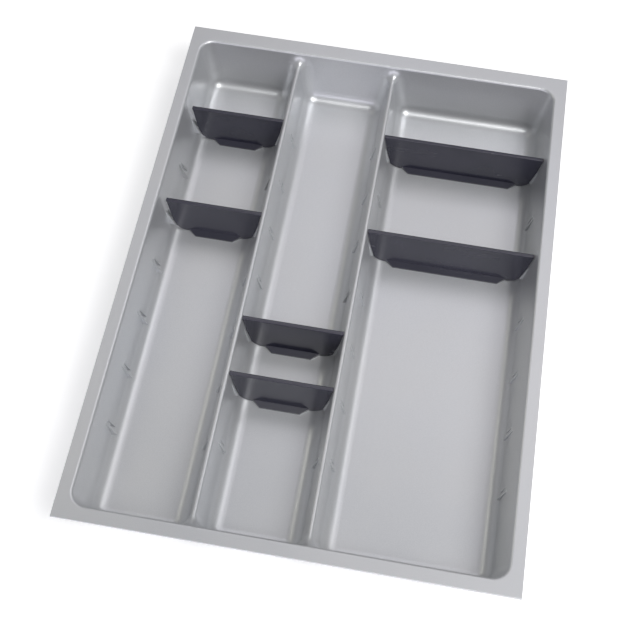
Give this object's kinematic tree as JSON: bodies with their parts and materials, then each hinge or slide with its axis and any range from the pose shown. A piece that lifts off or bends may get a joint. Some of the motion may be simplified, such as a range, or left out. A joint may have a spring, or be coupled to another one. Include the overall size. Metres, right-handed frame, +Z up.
{
  "type": "cutlery tray",
  "caption": "Shallow drawer insert with a flat flange, long narrow and wide compartments with rounded floors, and dark loose dividers that drop into leaning slots between ribs",
  "frame": {"origin": "bottom centre of the tray, on the drawer's floor", "axes": "+X to the right along the width, +Y to the back along the length, +Z up"},
  "size_m": [0.34, 0.475, 0.05],
  "materials": {
    "tray_plastic": "satin silver-grey, metallic look",
    "divider_plastic": "satin-gloss anthracite"
  },
  "bodies": {
    "tray": {"tray": "tray_plastic"},
    "divider_left_rear": {"divider_left_rear": "divider_plastic"},
    "divider_left_front": {"divider_left_front": "divider_plastic"},
    "divider_middle_rear": {"divider_middle_rear": "divider_plastic"},
    "divider_middle_front": {"divider_middle_front": "divider_plastic"},
    "divider_right_rear": {"divider_right_rear": "divider_plastic"},
    "divider_right_front": {"divider_right_front": "divider_plastic"}
  },
  "joints": [
    {"name": "divider_left_rear_lift", "type": "slide", "parent": "tray", "child": "divider_left_rear", "axis": [0, 0.0785, 0.9969], "range_m": [0, 0.06]},
    {"name": "divider_left_front_lift", "type": "slide", "parent": "tray", "child": "divider_left_front", "axis": [0, 0.0785, 0.9969], "range_m": [0, 0.06]},
    {"name": "divider_middle_rear_lift", "type": "slide", "parent": "tray", "child": "divider_middle_rear", "axis": [0, 0.0785, 0.9969], "range_m": [0, 0.06]},
    {"name": "divider_middle_front_lift", "type": "slide", "parent": "tray", "child": "divider_middle_front", "axis": [0, 0.0785, 0.9969], "range_m": [0, 0.06]},
    {"name": "divider_right_rear_lift", "type": "slide", "parent": "tray", "child": "divider_right_rear", "axis": [0, 0.0785, 0.9969], "range_m": [0, 0.06]},
    {"name": "divider_right_front_lift", "type": "slide", "parent": "tray", "child": "divider_right_front", "axis": [0, 0.0785, 0.9969], "range_m": [0, 0.06]}
  ]
}
